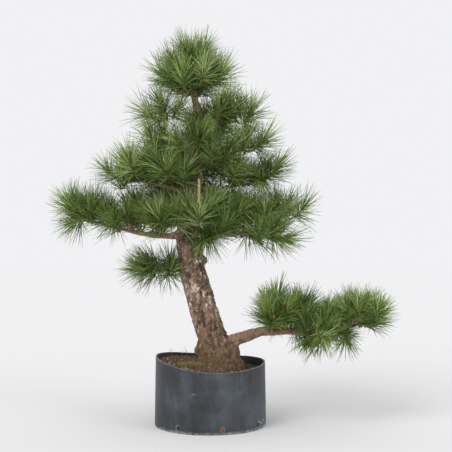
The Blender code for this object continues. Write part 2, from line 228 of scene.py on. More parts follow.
def grow(name, mesh, tree, finish, **sizes):
    # Runs a grower on a mesh, with its inputs given by their names
    seedling = newObject(name + "Seedling", mesh)
    modifier = seedling.modifiers.new("grow", "NODES")
    modifier.node_group = tree
    values = {"Finish": finish, **sizes}
    for item in tree.interface.items_tree:
        if item.item_type == "SOCKET" and item.in_out == "INPUT" and item.name in values:
            modifier[item.identifier] = values[item.name]
    grown = meshOf(seedling)
    bpy.data.objects.remove(seedling, do_unlink=True)
    return newObject(name, grown)


def mergedCopy(nodeName):
    bm = bmesh.new()
    bm.from_mesh(nodes[nodeName].data)
    bmesh.ops.remove_doubles(bm, verts=bm.verts, dist=0.00002)
    return meshFrom(bm, nodeName + "Copy")


def voxelCopy(nodeName, grain, smoothing=0):
    # A node's shape in small even faces that can carry relief
    body = newObject(nodeName + "Body", mergedCopy(nodeName))
    remesh = body.modifiers.new("grain", "REMESH")
    remesh.mode = "VOXEL"
    remesh.voxel_size = grain
    if smoothing:
        smooth = body.modifiers.new("smooth", "SMOOTH")
        smooth.factor = 0.5
        smooth.iterations = smoothing
    mesh = meshOf(body)
    bpy.data.objects.remove(body, do_unlink=True)
    return mesh


def treeOf(mesh):
    corners = [vertex.co for vertex in mesh.vertices]
    return BVHTree.FromPolygons(corners, [list(face.vertices) for face in mesh.polygons])


def pointing(angle):
    return Vector((math.cos(angle), math.sin(angle), 0.0))


def heading(degrees):
    return pointing(math.radians(degrees))


def centreOf(nodeName):
    lo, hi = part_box(nodeName)
    return (lo + hi) / 2


def standing(prefix):
    # Each node of a kind, with the foot and the tip of its middle line
    for name in sorted(nodes):
        if name.startswith(prefix):
            lo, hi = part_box(name)
            middle = (lo + hi) / 2
            yield name, Vector((middle.x, middle.y, lo.z)), Vector((middle.x, middle.y, hi.z))


def setOut(piece, slot, *replaced):
    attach(piece, "root")
    if replaced:
        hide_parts(*replaced)
    print("made", piece.name, len(piece.data.polygons), "faces")
    return piece


# Camera, floor and light

studio = {
    "eyeHeight": 0.495, "eyeDistance": 2.42, "eyeAside": 0.039, "lens": 77.0, "farthest": 30.0,
    "floorHalf": 9.0, "floorColour": (0.700, 0.698, 0.700),
    "skyColour": (0.978, 0.980, 1.0), "skyStrength": 0.90,
    "keyFrom": (-2.7, -3.5, 3.8), "keyStrength": 1.40,
    "fillFrom": (3.7, -2.5, 1.8), "fillStrength": 0.70, "lampWidth": 35.0,
}


def makeCamera():
    data = bpy.data.cameras.new("camera")
    data.lens = studio["lens"]
    data.clip_end = studio["farthest"]
    camera = newObject("camera", data)
    camera.location = (studio["eyeAside"], -studio["eyeDistance"], studio["eyeHeight"])
    camera.rotation_euler = (math.radians(90), 0, 0)
    bpy.context.scene.camera = camera


def makeFloor():
    bm = bmesh.new()
    bmesh.ops.create_grid(bm, x_segments=1, y_segments=1, size=studio["floorHalf"])
    floor = newObject("floor", meshFrom(bm, "floor"))
    material, _, shader = newMaterial("paleFloor", 1.0, Specular_IOR_Level=0.0)
    shader.inputs["Base Color"].default_value = (*studio["floorColour"], 1.0)
    floor.data.materials.append(material)


def makeLamp(name, place, strength):
    # A wide sun that shines from a place towards the middle
    data = bpy.data.lights.new(name, "SUN")
    data.energy = strength
    data.angle = math.radians(studio["lampWidth"])
    lamp = newObject(name, data)
    lamp.rotation_euler = (-Vector(place)).to_track_quat("-Z", "Y").to_euler()


def makeStudio():
    makeCamera()
    makeFloor()
    world = bpy.data.worlds.new("softSky")
    world.use_nodes = True
    sky = world.node_tree.nodes["Background"]
    sky.inputs["Color"].default_value = (*studio["skyColour"], 1.0)
    sky.inputs["Strength"].default_value = studio["skyStrength"]
    bpy.context.scene.world = world
    bpy.context.scene.view_settings.view_transform = "Standard"
    makeLamp("keyLight", studio["keyFrom"], studio["keyStrength"])
    makeLamp("fillLight", studio["fillFrom"], studio["fillStrength"])
    print("studio ready")


makeStudio()


# Wood: the trunk and branches, with plates of bark where it is old and thick

wood = {
    "grain": 0.0021, "smoothing": 6, "youngThickness": 0.012, "oldThickness": 0.045,
    "relief": {
        "Flakes": 88.0, "Stretch": 0.50, "Flake depth": 0.0042, "Fissures": 30.0,
        "Fissure depth": 0.0036, "Fissure width": 0.045, "Lumps": 0.011, "Warp": 0.020,
        "Young relief": 0.12,
    },
    "oldBark": (
        (0.34, (0.070, 0.034, 0.020)), (0.50, (0.170, 0.098, 0.062)),
        (0.66, (0.340, 0.230, 0.165)), (0.84, (0.620, 0.500, 0.410)),
    ),
    "youngBark": ((0.30, (0.140, 0.075, 0.042)), (0.72, (0.460, 0.310, 0.200))),
    # Near-black for the seams between chips and for the fissures: partly the bark's dark inner layers,
    # partly painted shade in the fissure hollows
    "seamColour": (0.036, 0.017, 0.010),
    "dampColours": ((0.010, 0.004, 0.002), (0.190, 0.100, 0.048)), "dampTop": 0.130, "dampFull": 0.020,
    "mossColours": ((0.018, 0.016, 0.006), (0.150, 0.125, 0.040)), "mossTop": 0.060, "mossFull": -0.012,
}


def barkGrower():
    # Flakes that lie at different levels, parted by winding upright fissures
    tree, given = newGrower("barkPlates", wood["relief"])
    place = addNode(tree, "GeometryNodeInputPosition").outputs[0]

    def clouds(where, scale, detail):
        inputs = {"Vector": where, "Scale": scale, "Detail": detail}
        return addNode(tree, "ShaderNodeTexNoise", inputs).outputs

    def flakeLevels(where, scale):
        inputs = {"Vector": where, "Scale": scale, "Randomness": 1.0}
        colour = addNode(tree, "ShaderNodeTexVoronoi", inputs, feature="F1").outputs["Color"]
        return addNode(tree, "ShaderNodeSeparateXYZ", {0: colour}).outputs[0]

    warp = vectorCalc(tree, "SCALE", clouds(place, 75.0, 4.0)[1], given["Warp"])
    stretched = addNode(tree, "ShaderNodeCombineXYZ", {0: 1.0, 1: 1.0, 2: given["Stretch"]}).outputs[0]
    along = vectorCalc(tree, "MULTIPLY", vectorCalc(tree, "ADD", place, warp), stretched)
    broad = flakeLevels(along, given["Flakes"])
    small = flakeLevels(along, calc(tree, "MULTIPLY", given["Flakes"], 2.3))
    level = blend(tree, (broad, 0.62), (small, 0.38))
    upright = vectorCalc(tree, "MULTIPLY", place, (1.0, 1.0, 0.30))
    winding = clouds(upright, given["Fissures"], 4.0)[0]
    offMiddle = calc(tree, "ABSOLUTE", calc(tree, "SUBTRACT", winding, 0.5))
    crack = ranged(tree, offMiddle, 0.0, given["Fissure width"], 1.0, 0.0)
    swell = clouds(place, 26.0, 2.0)[0]
    raised = calc(tree, "MULTIPLY", calc(tree, "SUBTRACT", level, 0.5), given["Flake depth"])
    opened = calc(tree, "MULTIPLY", crack, given["Fissure depth"])
    lumpy = calc(tree, "MULTIPLY", calc(tree, "SUBTRACT", swell, 0.5), given["Lumps"])
    height = calc(tree, "ADD", calc(tree, "SUBTRACT", raised, opened), lumpy)
    aged = ranged(tree, named(tree, "age"), 0.0, 1.0, given["Young relief"], 1.0)
    outward = addNode(tree, "GeometryNodeInputNormal").outputs[0]
    offset = vectorCalc(tree, "SCALE", outward, calc(tree, "MULTIPLY", height, aged))
    barked = marked(tree, given["Geometry"], "POINT", level=level, crack=crack)
    moved = addNode(tree, "GeometryNodeSetPosition", {0: barked, "Offset": offset}).outputs[0]
    return endGrower(tree, given, moved)


def barkChips(tree):
    # Small flat chips and the dark seams between them
    place = addNode(tree, "ShaderNodeTexCoord").outputs["Object"]
    wobble = addNode(tree, "ShaderNodeTexNoise", {"Vector": place, "Scale": 160.0, "Detail": 3.0}).outputs[1]
    warped = vectorCalc(tree, "ADD", place, vectorCalc(tree, "SCALE", wobble, 0.012))
    cells = {"Vector": vectorCalc(tree, "MULTIPLY", warped, (1.0, 1.0, 0.62)), "Scale": 135.0}
    colour = addNode(tree, "ShaderNodeTexVoronoi", cells, feature="F1").outputs["Color"]
    edge = addNode(tree, "ShaderNodeTexVoronoi", cells, feature="DISTANCE_TO_EDGE").outputs["Distance"]
    shade = addNode(tree, "ShaderNodeSeparateXYZ", {0: colour}).outputs[0]
    return shade, ranged(tree, edge, 0.12, 0.02)


def barkMaterial():
    material, tree, shader = newMaterial("pineBark", 0.90)
    level, crack, age = (surfaceValue(tree, name) for name in ("level", "crack", "age"))
    flakes = mottle(tree, 210.0, 6.0, 0.7, 0.5)
    patches = mottle(tree, 34.0, 3.0)
    chips, seams = barkChips(tree)
    tone = blend(tree, (level, 0.32), (flakes, 0.36), (chips, 0.30), (patches, 0.24))
    # Seams between chips are dark joints; the fissures, which the relief already sinks in, are also painted
    # near-black, partly dark inner bark and partly painted shade
    seamsAndShadedFissures = calc(tree, "MAXIMUM", calc(tree, "MULTIPLY", crack, 0.85), calc(tree, "MULTIPLY", seams, 0.60))
    old = mixColour(tree, seamsAndShadedFissures, ramp(tree, tone, wood["oldBark"]), wood["seamColour"])
    young = ramp(tree, flakes, wood["youngBark"])
    body = mixColour(tree, ranged(tree, age, 0.25, 0.80), young, old)
    # Old wood is damp above the soil, with moss on its lowest part
    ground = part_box("soil")[1].z
    height = objectPlace(tree)[2]
    damp = ranged(tree, height, ground + wood["dampTop"], ground + wood["dampFull"], 0.0, 0.75)
    damp = calc(tree, "MULTIPLY", damp, ranged(tree, age, 0.45, 0.90))
    stained = mixColour(tree, damp, body, mixColour(tree, tone, *wood["dampColours"]))
    low = ranged(tree, height, ground + wood["mossTop"], ground + wood["mossFull"])
    mossy = calc(tree, "MULTIPLY", low, ranged(tree, patches, 0.40, 0.56))
    green = mixColour(tree, flakes, *wood["mossColours"])
    final = mixColour(tree, calc(tree, "MULTIPLY", mossy, 0.75), stained, green)
    tree.links.new(final, shader.inputs["Base Color"])
    fine = mottle(tree, 420.0, 4.0, 0.7, 0.4)
    bumpInto(tree, shader, blend(tree, (flakes, 1.0), (fine, 0.5)), 0.0018, 1.0)
    return material


def markAge(mesh):
    # How thick the wood is behind each point says how old its bark is
    solid = treeOf(mesh)
    age = mesh.attributes.new("age", "FLOAT", "POINT")
    for vertex in mesh.vertices:
        inward = -vertex.normal
        reached = solid.ray_cast(vertex.co + inward * 0.0005, inward)
        thickness = reached[3] if reached[0] is not None else 0.0
        share = (thickness - wood["youngThickness"]) / (wood["oldThickness"] - wood["youngThickness"])
        age.data[vertex.index].value = min(1.0, max(0.0, share))


def makeWood():
    mesh = voxelCopy("trunk_and_branches", wood["grain"], wood["smoothing"])
    markAge(mesh)
    bark = grow("trunkBark", mesh, barkGrower(), barkMaterial(), **wood["relief"])
    return setOut(bark, "bark", "trunk_and_branches")


# Pale sawn ends where two branches were taken off
scars = {
    "height": 0.4075, "stemAside": -0.045, "headings": (-65.0, -36.0), "radius": 0.0034,
    "taper": 0.86, "depth": 0.0016, "worn": 0.0003, "sides": 20,
    "colours": ((0.620, 0.500, 0.360), (0.950, 0.880, 0.740)),
}


def makeScars(bark):
    surface = treeOf(bark.data)
    material, tree, shader = newMaterial("sawnWood", 0.8)
    grain = mottle(tree, 900.0, 3.0)
    tree.links.new(mixColour(tree, grain, *scars["colours"]), shader.inputs["Base Color"])
    bumpInto(tree, shader, grain, 0.0005, 0.6)
    middle = Vector((scars["stemAside"], 0.0, scars["height"]))
    for number, degrees in enumerate(scars["headings"], 1):
        ahead = heading(degrees)
        place, outward, _, _ = surface.ray_cast(middle + ahead * 0.2, -ahead)
        bm = bmesh.new()
        bmesh.ops.create_cone(
            bm, cap_ends=True, segments=scars["sides"], radius1=scars["radius"],
            radius2=scars["radius"] * scars["taper"], depth=scars["depth"],
        )
        bmesh.ops.bevel(bm, geom=bm.edges[:], offset=scars["worn"], segments=2, affect="EDGES")
        turn = outward.lerp(ahead, 0.5).to_track_quat("Z", "Y").to_matrix().to_4x4()
        bm.transform(Matrix.Translation(place) @ turn)
        mesh = meshFrom(bm, "scar")
        mesh.materials.append(material)
        setOut(newObject("sawnScar" + str(number), mesh), "bark")


makeScars(makeWood())
woodSurface = treeOf(nodes["trunk_and_branches"].data)


# Needles: shoots stand in each clump, and each shoot carries bundles of two needles

needles = {
    "strands": {"Bundles": 62, "Width": 0.0016, "Bend": 0.13, "Base spread": 1.20, "Tip spread": 0.20},
    "length": 0.069, "sag": 0.11, "shootLength": 0.034, "shoots": 5, "usualRadius": 0.056, "seed": 41,
    "vigour": (0.84, 1.10), "across": (0.15, 0.62), "height": (-0.60, 0.10), "aside": (0.30, 0.80),
    "upright": 1.10, "uprightRange": (0.65, 1.15), "hanging": 0.06, "hangingRise": -0.30,
    "outward": 0.35, "gathered": 0.0, "lift": 0.0, "pastShare": 0.010, "pastBy": 0.006,
    "candleDrop": 0.052, "candleVigour": 0.80, "candleFresh": 0.8,
    "tints": (
        (0.05, (0.014, 0.032, 0.004)), (0.34, (0.066, 0.122, 0.014)),
        (0.65, (0.210, 0.325, 0.060)), (0.90, (0.560, 0.680, 0.300)),
    ),
    "root": (0.240, 0.170, 0.080), "rootEnds": 0.08, "roughness": 0.45,
    # What a branch, or one clump of it, does differently
    "habits": {
        "crown": {"upright": 1.70, "gathered": 0.36, "lift": -0.018},
        "left_top": {"upright": 0.45},
        "left_back": {"upright": 0.05, "gathered": 0.60},
        "right_low": {"hanging": 0.20},
        "low_right": {"shoots": 8, "length": 0.056, "upright": 1.35, "hanging": 0.14, "gathered": 0.10},
        "low_right_1": {"hanging": 0.0, "lift": 0.006},
        "low_right_2": {"hanging": 0.25},
        "low_right_3": {"hanging": 0.30, "lift": -0.005},
        "low_right_6": {"lift": -0.022},
    },
}


def strandMaterial(name, look):
    # The first coordinate is the strand's own tint, the second how far along it is
    material, tree, shader = newMaterial(name, look["roughness"])
    where = addNode(tree, "ShaderNodeUVMap", uv_map="OFBake").outputs[0]
    tint, along, _ = addNode(tree, "ShaderNodeSeparateXYZ", {0: where}).outputs
    blade = ramp(tree, tint, look["tints"])
    colour = mixColour(tree, ranged(tree, along, 0.0, look["rootEnds"]), look["root"], blade)
    tree.links.new(colour, shader.inputs["Base Color"])
    return material


def bladeOf(tree, given):
    # One tapering strand along Z, three-sided, bent towards X
    line = addNode(tree, "GeometryNodeCurvePrimitiveLine", {"End": (0.0, 0.0, 1.0)}).outputs[0]
    points = addNode(tree, "GeometryNodeResampleCurve", {0: line, "Count": 3}).outputs[0]
    along = addNode(tree, "GeometryNodeSplineParameter").outputs["Factor"]
    bowed = calc(tree, "MULTIPLY", calc(tree, "POWER", along, 2.0), given["Bend"])
    offset = addNode(tree, "ShaderNodeCombineXYZ", {0: bowed}).outputs[0]
    bent = addNode(tree, "GeometryNodeSetPosition", {0: points, "Offset": offset}).outputs[0]
    sized = vectorCalc(tree, "SCALE", addNode(tree, "GeometryNodeInputPosition").outputs[0], given["Length"])
    scaled = addNode(tree, "GeometryNodeSetPosition", {0: bent, "Position": sized}).outputs[0]
    taper = ranged(tree, along, 0.50, 1.0, 1.0, 0.25)
    thick = addNode(tree, "GeometryNodeSetCurveRadius", {0: scaled, "Radius": taper}).outputs[0]
    kept = marked(tree, thick, "POINT", along=along)
    half = calc(tree, "MULTIPLY", given["Width"], 0.5)
    profile = addNode(tree, "GeometryNodeCurvePrimitiveCircle", {"Resolution": 3, "Radius": half}).outputs[0]
    radius = addNode(tree, "GeometryNodeInputRadius").outputs[0]
    return addNode(
        tree, "GeometryNodeCurveToMesh",
        {"Curve": kept, "Profile Curve": profile, "Scale": radius, "Fill Caps": True},
    ).outputs[0]


def leaning(tree, geometry, angle, turn):
    rotation = addNode(tree, "FunctionNodeEulerToRotation", {0: (0.0, angle, turn)}).outputs[0]
    return addNode(tree, "GeometryNodeTransform", {0: geometry, "Rotation": rotation}).outputs[0]


def leanedOut(tree, rotation, turn, lean):
    # Turned about its own axis, then leaned away from it
    about = addNode(tree, "FunctionNodeAxisAngleToRotation", {"Angle": turn}).outputs[0]
    tilt = {"Axis": (0.0, 1.0, 0.0), "Angle": lean}
    away = addNode(tree, "FunctionNodeAxisAngleToRotation", tilt).outputs[0]
    for step in (about, away):
        steps = {0: rotation, 1: step}
        rotation = addNode(tree, "FunctionNodeRotateRotation", steps, rotation_space="LOCAL").outputs[0]
    return rotation


def laidOut(tree, geometry, sag):
    # Realised strands droop or lift a little, and get their colour coordinates
    whole = addNode(tree, "GeometryNodeRealizeInstances", {0: geometry}).outputs[0]
    tint, along = named(tree, "tint"), named(tree, "along")
    pull = calc(tree, "MULTIPLY", calc(tree, "POWER", along, 2.0), sag)
    pull = calc(tree, "MULTIPLY", pull, ranged(tree, named(tree, "droop"), 0.0, 1.0, 0.9, -1.6))
    offset = addNode(tree, "ShaderNodeCombineXYZ", {2: pull}).outputs[0]
    drooped = addNode(tree, "GeometryNodeSetPosition", {0: whole, "Offset": offset}).outputs[0]
    where = addNode(tree, "ShaderNodeCombineXYZ", {0: tint, 1: along}).outputs[0]
    return addNode(
        tree, "GeometryNodeStoreNamedAttribute", {0: drooped, "Name": "OFBake", "Value": where},
        data_type="FLOAT2", domain="CORNER",
    ).outputs[0]


def shootGrower():
    # Bundles of two strands in a spiral up each stem, wide at its foot and close at its tip
    sizes = {**needles["strands"], "Length": needles["length"], "Sag": 0.0, "Seed": 1}
    tree, given = newGrower("needleShoots", sizes)
    stems = addNode(tree, "GeometryNodeMeshToCurve", {0: given["Geometry"]}).outputs[0]
    sprouting = addNode(
        tree, "GeometryNodeCurveToPoints", {0: stems, "Count": given["Bundles"]}, mode="COUNT"
    ).outputs
    index = addNode(tree, "GeometryNodeInputIndex").outputs[0]
    turnNumber = calc(tree, "MODULO", index, given["Bundles"])
    share = calc(tree, "DIVIDE", turnNumber, given["Bundles"])
    spread = ranged(tree, share, 0.0, 1.0, given["Base spread"], given["Tip spread"])
    spread = calc(tree, "ADD", spread, randomIn(tree, -0.28, 0.28, given["Seed"]))
    goldenAngle = 2.39996
    turned = leanedOut(tree, sprouting["Rotation"], calc(tree, "MULTIPLY", index, goldenAngle), spread)
    blade = bladeOf(tree, given)
    pair = addNode(tree, "GeometryNodeJoinGeometry")
    for angle, turn in ((0.090, 0.4), (-0.090, 3.5)):
        tree.links.new(leaning(tree, blade, angle, turn), pair.inputs[0])
    size = calc(tree, "MULTIPLY", named(tree, "vigour"), randomIn(tree, 0.68, 1.14, 7))
    bundles = addNode(tree, "GeometryNodeInstanceOnPoints", {
        "Points": sprouting["Points"], "Instance": pair.outputs[0], "Rotation": turned, "Scale": size,
    }).outputs[0]
    tint = blend(tree, (randomIn(tree, 0.0, 1.0, 3), 0.60), (share, 0.16), (named(tree, "fresh"), 0.24))
    coloured = marked(tree, bundles, tint=tint, droop=randomIn(tree, 0.0, 1.0, 4))
    return endGrower(tree, given, laidOut(tree, coloured, given["Sag"]))


# Twigs: they carry the shoots, each from the nearest wood up to a bud
twig = {
    "sides": 7, "thickness": (0.0029, 0.0025, 0.0023, 0.0016), "bow": 0.006,
    "bud": ((0.003, 0.0028), (0.008, 0.0024), (0.014, 0.0006)),
    "bark": ((0.32, (0.120, 0.060, 0.034)), (0.55, (0.300, 0.180, 0.105)), (0.75, (0.480, 0.350, 0.240))),
    "budColours": ((0.300, 0.140, 0.060), (0.600, 0.430, 0.260)),
}


def twigGrower():
    tree, given = newGrower("twigs", {"Sides": twig["sides"]})
    stems = addNode(tree, "GeometryNodeMeshToCurve", {0: given["Geometry"]}).outputs[0]
    circle = {"Resolution": given["Sides"], "Radius": 1.0}
    profile = addNode(tree, "GeometryNodeCurvePrimitiveCircle", circle).outputs[0]
    tubes = addNode(
        tree, "GeometryNodeCurveToMesh",
        {"Curve": stems, "Profile Curve": profile, "Scale": named(tree, "thickness"), "Fill Caps": True},
    ).outputs[0]
    return endGrower(tree, given, tubes)


def lineMesh(name, lines, fields):
    # Polylines as a mesh of edges, each point with its named values
    places, edges = [], []
    values = {field: [] for field in fields}
    for line in lines:
        first = len(places)
        for place, *numbers in line:
            places.append(place)
            for field, number in zip(fields, numbers):
                values[field].append(number)
        edges += [(first + step, first + step + 1) for step in range(len(line) - 1)]
    mesh = bpy.data.meshes.new(name)
    mesh.from_pydata(places, edges, [])
    for field in fields:
        mesh.attributes.new(field, "FLOAT", "POINT").data.foreach_set("value", values[field])
    return mesh


def clumpGroups():
    groups = {}
    for name in sorted(nodes):
        if name.startswith("needles_"):
            groups.setdefault(name[len("needles_"):name.rindex("_")], []).append(name)
    return groups


def habitOf(group, clump=""):
    habits = needles["habits"]
    return {**needles, **habits.get(group, {}), **habits.get(clump.removeprefix("needles_"), {})}


def planShoots(group, clump, middle, stem, dice):
    # Where each shoot of a clump starts, which way it points, its vigour and its freshness
    habit = habitOf(group, clump)
    lo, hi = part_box(clump)
    centre = centreOf(clump)
    radius = sum(hi - lo) / 6
    away = Vector((centre.x - stem.x, centre.y - stem.y, 0.0))
    away = away.normalized() if away.length > 0.03 else Vector((0, 0, 0))
    drawn = (middle - centre) * habit["gathered"]
    centre = centre + Vector((drawn.x, drawn.y, habit["lift"]))
    first = dice.uniform(0, math.tau)
    count = round(habit["shoots"] * (radius / habit["usualRadius"]) ** 2)
    shoots = []
    for number in range(count):
        aside = pointing(first + math.tau * number / count + dice.uniform(-0.4, 0.4))
        foot = centre + aside * (radius * dice.uniform(*habit["across"]))
        foot += up * (radius * dice.uniform(*habit["height"]))
        hangs = dice.random() < habit["hanging"]
        rise = habit["hangingRise"] if hangs else habit["upright"] * dice.uniform(*habit["uprightRange"])
        ahead = aside * dice.uniform(*habit["aside"]) + away * habit["outward"] + up * rise
        ahead.normalize()
        vigour = dice.uniform(*habit["vigour"])
        shoots.append((keptWithin(foot, ahead, vigour, habit), ahead, vigour, dice.random()))
    return shoots


def candleShoots(group):
    # Each candle rises out of a shoot of the branch that it stands on
    clumps = [name for name in sorted(nodes) if name.startswith("needles_")]
    shoots = []
    for _, foot, _ in standing("candle_"):
        nearest = min(clumps, key=lambda clump: (centreOf(clump) - foot).length)
        if nearest.startswith("needles_" + group):
            foot = foot - up * needles["candleDrop"]
            shoots.append((foot, up, needles["candleVigour"], needles["candleFresh"]))
    return shoots


def keptWithin(foot, ahead, vigour, habit):
    # Draws a shoot in where its needles would reach past the tree's box
    reach = habit["length"] * vigour
    tip = foot + ahead * (habit["shootLength"] * vigour)
    lo, hi = cadBounds
    for axis in range(3):
        spare = (hi[axis] - lo[axis]) * habit["pastShare"] + habit["pastBy"]
        over = max(foot[axis], tip[axis]) + reach - (hi[axis] + spare)
        under = (lo[axis] - spare) - (min(foot[axis], tip[axis]) - reach)
        foot[axis] -= max(0.0, over)
        foot[axis] += max(0.0, under)
    return foot


def shootLine(foot, ahead, vigour, fresh):
    length = needles["shootLength"] * vigour
    tip = foot + (ahead + up * 0.18).normalized() * length
    return [(place, vigour, fresh) for place in (foot, foot + ahead * (length * 0.5), tip)]


def twigLine(foot, ahead, vigour, _):
    # From the nearest wood, curving up into the shoot, with a bud at its tip
    start = woodSurface.find_nearest(foot)[0]
    bow = start.lerp(foot, 0.55) - ahead * twig["bow"]
    tip = foot + ahead * (needles["shootLength"] * vigour)
    line = [(place, thickness, 0.0) for place, thickness in zip((start, bow, foot, tip), twig["thickness"])]
    return line + [(tip + ahead * step, thickness, 1.0) for step, thickness in twig["bud"]]


def twigMaterial():
    material, tree, shader = newMaterial("twigBark", 0.85)
    flakes = mottle(tree, 330.0, 5.0, 0.7)
    bud = mixColour(tree, flakes, *twig["budColours"])
    colour = mixColour(tree, surfaceValue(tree, "bud"), ramp(tree, flakes, twig["bark"]), bud)
    tree.links.new(colour, shader.inputs["Base Color"])
    bumpInto(tree, shader, flakes, 0.001, 0.8)
    return material


def pascal(words):
    return "".join(word.capitalize() for word in words.split("_"))


def makeNeedles(shootTree):
    green, twigBark = strandMaterial("pineNeedle", needles), twigMaterial()
    twigTree = twigGrower()
    stem = centreOf("needles_crown_1")
    for order, (group, clumps) in enumerate(clumpGroups().items()):
        dice = random.Random(needles["seed"] + order)
        length = habitOf(group)["length"]
        middle = sum((centreOf(clump) for clump in clumps), Vector()) / len(clumps)
        planned = [shoot for clump in clumps for shoot in planShoots(group, clump, middle, stem, dice)]
        planned += candleShoots(group)
        stems = lineMesh(group + "Shoots", [shootLine(*shoot) for shoot in planned], ["vigour", "fresh"])
        foliage = grow(
            "needles" + pascal(group), stems, shootTree, green,
            Length=length, Sag=needles["sag"] * length, Seed=order + 1, **needles["strands"],
        )
        setOut(foliage, "needles", *clumps)
        stalks = lineMesh(group + "Twigs", [twigLine(*shoot) for shoot in planned], ["thickness", "bud"])
        setOut(grow("twigs" + pascal(group), stalks, twigTree, twigBark), "bark")


needleShoots = shootGrower()
makeNeedles(needleShoots)


# Pot: a thin tub with a rim cut by hand and drilled holes at its foot

pot = {
    "columns": 180, "rows": 10, "wall": 0.0030, "nick": 0.0007, "wobble": 0.0006, "footRound": 0.0016,
    "cutEdge": 0.0014, "rimLevel": 0.16, "holeHeight": 0.0125, "holeSides": 28, "surveySteps": 720,
    "scratch": {"middle": -25.0, "length": 0.046, "level": 0.012, "rise": 0.010, "waves": 4.0},
    "scuff": {"middle": -106.0, "length": 0.010, "level": 0.096, "rise": 0.0, "waves": 1.0},
    "plastic": (
        (0.40, (0.014, 0.016, 0.020)), (0.50, (0.028, 0.033, 0.039)), (0.61, (0.057, 0.068, 0.081)),
    ),
    "lime": (0.34, 0.34, 0.33), "limeHeight": 0.0080, "limeFull": 0.0015,
    "scratched": (0.50, 0.51, 0.50), "sawn": (0.185, 0.190, 0.190),
    "strokeWidth": (0.0016, 0.0006), "ringWidth": (0.0030, 0.0008),
}


def potSurvey():
    # Reads the tub's radii, its rim and its holes from its frame solid
    shell = treeOf(nodes["nursery_pot"].data)
    low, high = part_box("nursery_pot")
    probe = (high.x - low.x) * 0.5 + 0.05
    steps = pot["surveySteps"]

    def outside(angle, height):
        ahead = pointing(angle)
        reached = shell.ray_cast(ahead * probe + up * height, -ahead)[0]
        return math.hypot(reached.x, reached.y) if reached is not None else 0.0

    def rim(angle, middle):
        return shell.ray_cast(pointing(angle) * middle + up * (high.z + 0.05), -up)[0].z

    around = [step * 0.05 for step in range(125)]
    footLevel, headLevel = 0.004, high.z * 0.8
    foot = max(outside(angle, footLevel) for angle in around)
    head = max(outside(angle, headLevel) for angle in around)
    taper = (head - foot) / (headLevel - footLevel)
    # A ray that goes on past the wall has met a hole
    blind = [outside(math.tau * step / steps, pot["holeHeight"]) < foot - 0.002 for step in range(steps)]
    holes, run = [], []
    for step in range(steps + 1):
        if step < steps and blind[step]:
            run.append(step)
        elif run:
            holes.append((math.tau * (run[0] + run[-1] + 1) / 2 / steps, math.pi * foot * len(run) / steps))
            run = []
    return foot, taper, rim, holes


def makePotShell():
    foot, taper, rim, holes = potSurvey()

    def topAt(angle):
        ahead = pointing(angle)
        ragged = noise.noise(ahead * 9.0) + 0.5 * noise.noise(ahead * 31.0)
        return rim(angle, foot + taper * pot["rimLevel"] - pot["wall"] / 2) + pot["nick"] * ragged

    # The first ring is drawn in to round the foot, and the last two hold the cut edge
    bm = bmesh.new()
    rings = [[] for _ in range(pot["rows"] + 3)]
    for column in range(pot["columns"]):
        angle = math.tau * column / pot["columns"]
        ahead = pointing(angle)
        top = topAt(angle)
        climb = top - pot["cutEdge"] - pot["footRound"]
        heights = [pot["footRound"] + climb * row / pot["rows"] for row in range(pot["rows"] + 1)]
        for height, ring in zip((0.0, *heights, top), rings):
            radius = foot + taper * height - (0.0 if height else pot["footRound"])
            radius += pot["wobble"] * noise.noise(ahead * 2.2 + up * (height * 9.0))
            ring.append(bm.verts.new(ahead * radius + up * height))
    for lower, upper in zip(rings, rings[1:]):
        for column in range(pot["columns"]):
            following = (column + 1) % pot["columns"]
            bm.faces.new((lower[column], lower[following], upper[following], upper[column]))
    bm.faces.new(list(reversed(rings[0])))
    bmesh.ops.recalc_face_normals(bm, faces=bm.faces)
    shell = newObject("potShell", meshFrom(bm, "potShell"))
    wall = shell.modifiers.new("wall", "SOLIDIFY")
    wall.thickness = pot["wall"]
    wall.offset = -1.0
    drills = [drillAt(angle, foot, radius) for angle, radius in holes]
    for drill in drills:
        bore = shell.modifiers.new(drill.name, "BOOLEAN")
        bore.operation = "DIFFERENCE"
        bore.object = drill
    tub = newObject("potTub", meshOf(shell))
    for tool in (shell, *drills):
        bpy.data.objects.remove(tool, do_unlink=True)
    sawn = tub.data.attributes.new("cut", "FLOAT", "POINT")
    for vertex in tub.data.vertices:
        level = vertex.co.z - topAt(math.atan2(vertex.co.y, vertex.co.x))
        sawn.data[vertex.index].value = 1.0 if level > -pot["cutEdge"] / 2 else 0.0
    tub.data.shade_smooth()
    tub.data.set_sharp_from_angle(angle=math.radians(38))
    tub.data.materials.append(potMaterial(holes, foot))
    setOut(tub, "pot", "nursery_pot")
    return foot, holes


def drillAt(angle, foot, radius):
    ahead = pointing(angle)
    place = Matrix.Translation(ahead * foot + up * pot["holeHeight"])
    bm = bmesh.new()
    bmesh.ops.create_cone(
        bm, cap_ends=True, segments=pot["holeSides"], radius1=radius, radius2=radius, depth=0.02,
        matrix=place @ ahead.to_track_quat("Z", "Y").to_matrix().to_4x4(),
    )
    return newObject("drill", meshFrom(bm, "drill"))


